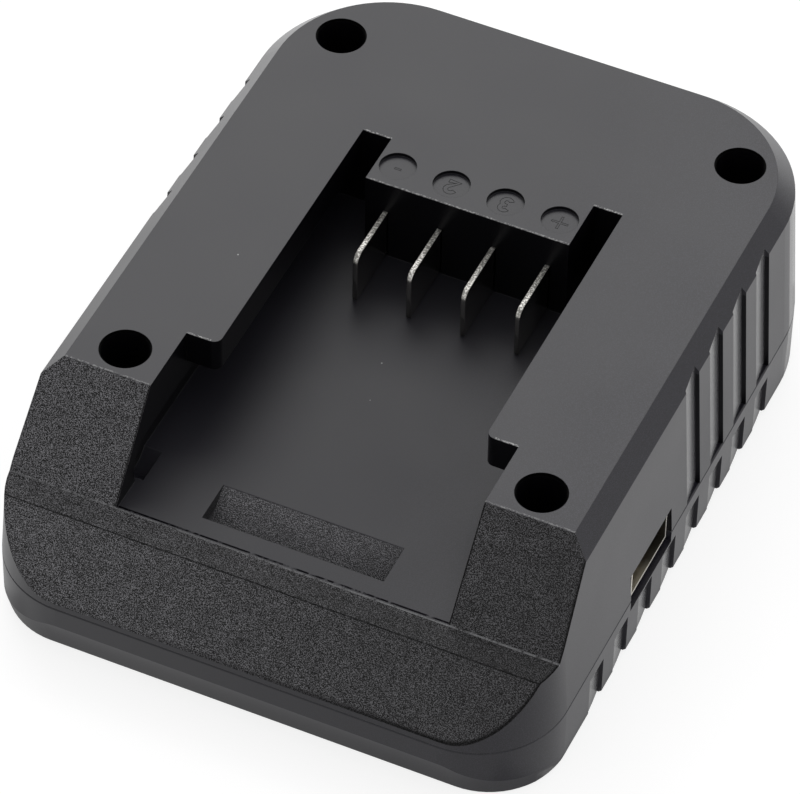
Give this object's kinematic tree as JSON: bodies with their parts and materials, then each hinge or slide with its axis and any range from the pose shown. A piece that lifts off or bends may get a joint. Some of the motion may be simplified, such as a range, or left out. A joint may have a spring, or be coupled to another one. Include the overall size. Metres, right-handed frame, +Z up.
{
  "type": "power tool battery charger",
  "caption": "Low rounded-box charger for slide-on power tool batteries, with a railed bay, upright contact blades, a sloped textured nose and a USB outlet.",
  "frame": {"origin": "Middle of the footprint, on the plane that the feet stand on.", "axes": "+X to the side with the USB outlet, +Y to the rear wall with the mains inlet, +Z up out of the battery bay."},
  "size_m": [0.0886, 0.1184, 0.0363],
  "materials": {
    "housing_plastic": "satin moulded black, fine stipple on the nose",
    "cover_plastic": "satin moulded black",
    "block_plastic": "matt moulded black",
    "blade_metal": "nickel plate",
    "board": "green solder mask",
    "ferrite": "dark sintered ferrite",
    "bobbin_plastic": "plain moulded",
    "winding_tape": "polyester tape",
    "capacitor_sleeve": "shrink sleeve",
    "copper": "enamelled wire",
    "chip_plastic": "moulded epoxy",
    "bare_aluminium": "plain sheet",
    "blue_epoxy": "dipped epoxy",
    "shell_metal": "plated sheet",
    "insulator_plastic": "plain moulded",
    "gold_plate": "gold plate",
    "led_lens": "clear green tint",
    "screw_steel": "zinc plate",
    "foot_rubber": "matt rubber"
  },
  "bodies": {
    "root": {"top_housing": "housing_plastic", "bottom_cover": "cover_plastic", "terminal_block": "block_plastic", "terminal_blade_1": "blade_metal", "terminal_blade_2": "blade_metal", "terminal_blade_3": "blade_metal", "terminal_blade_4": "blade_metal", "circuit_board": "board", "transformer_core": "ferrite", "transformer_bobbin": "bobbin_plastic", "transformer_winding": "winding_tape", "bulk_capacitor": "capacitor_sleeve", "output_capacitors": "capacitor_sleeve", "filter_choke": "copper", "choke_core": "ferrite", "input_fuse": "chip_plastic", "bridge_rectifier": "chip_plastic", "power_transistor": "chip_plastic", "heat_sink": "bare_aluminium", "output_inductor": "ferrite", "controller_chips": "chip_plastic", "safety_capacitor": "blue_epoxy", "usb_shell": "shell_metal", "usb_insulator": "insulator_plastic", "usb_contacts": "gold_plate", "mains_inlet": "block_plastic", "inlet_pins": "blade_metal", "charge_led": "led_lens", "light_pipe": "led_lens", "case_screws": "screw_steel", "board_screws": "screw_steel", "rubber_feet": "foot_rubber"}
  },
  "joints": []
}
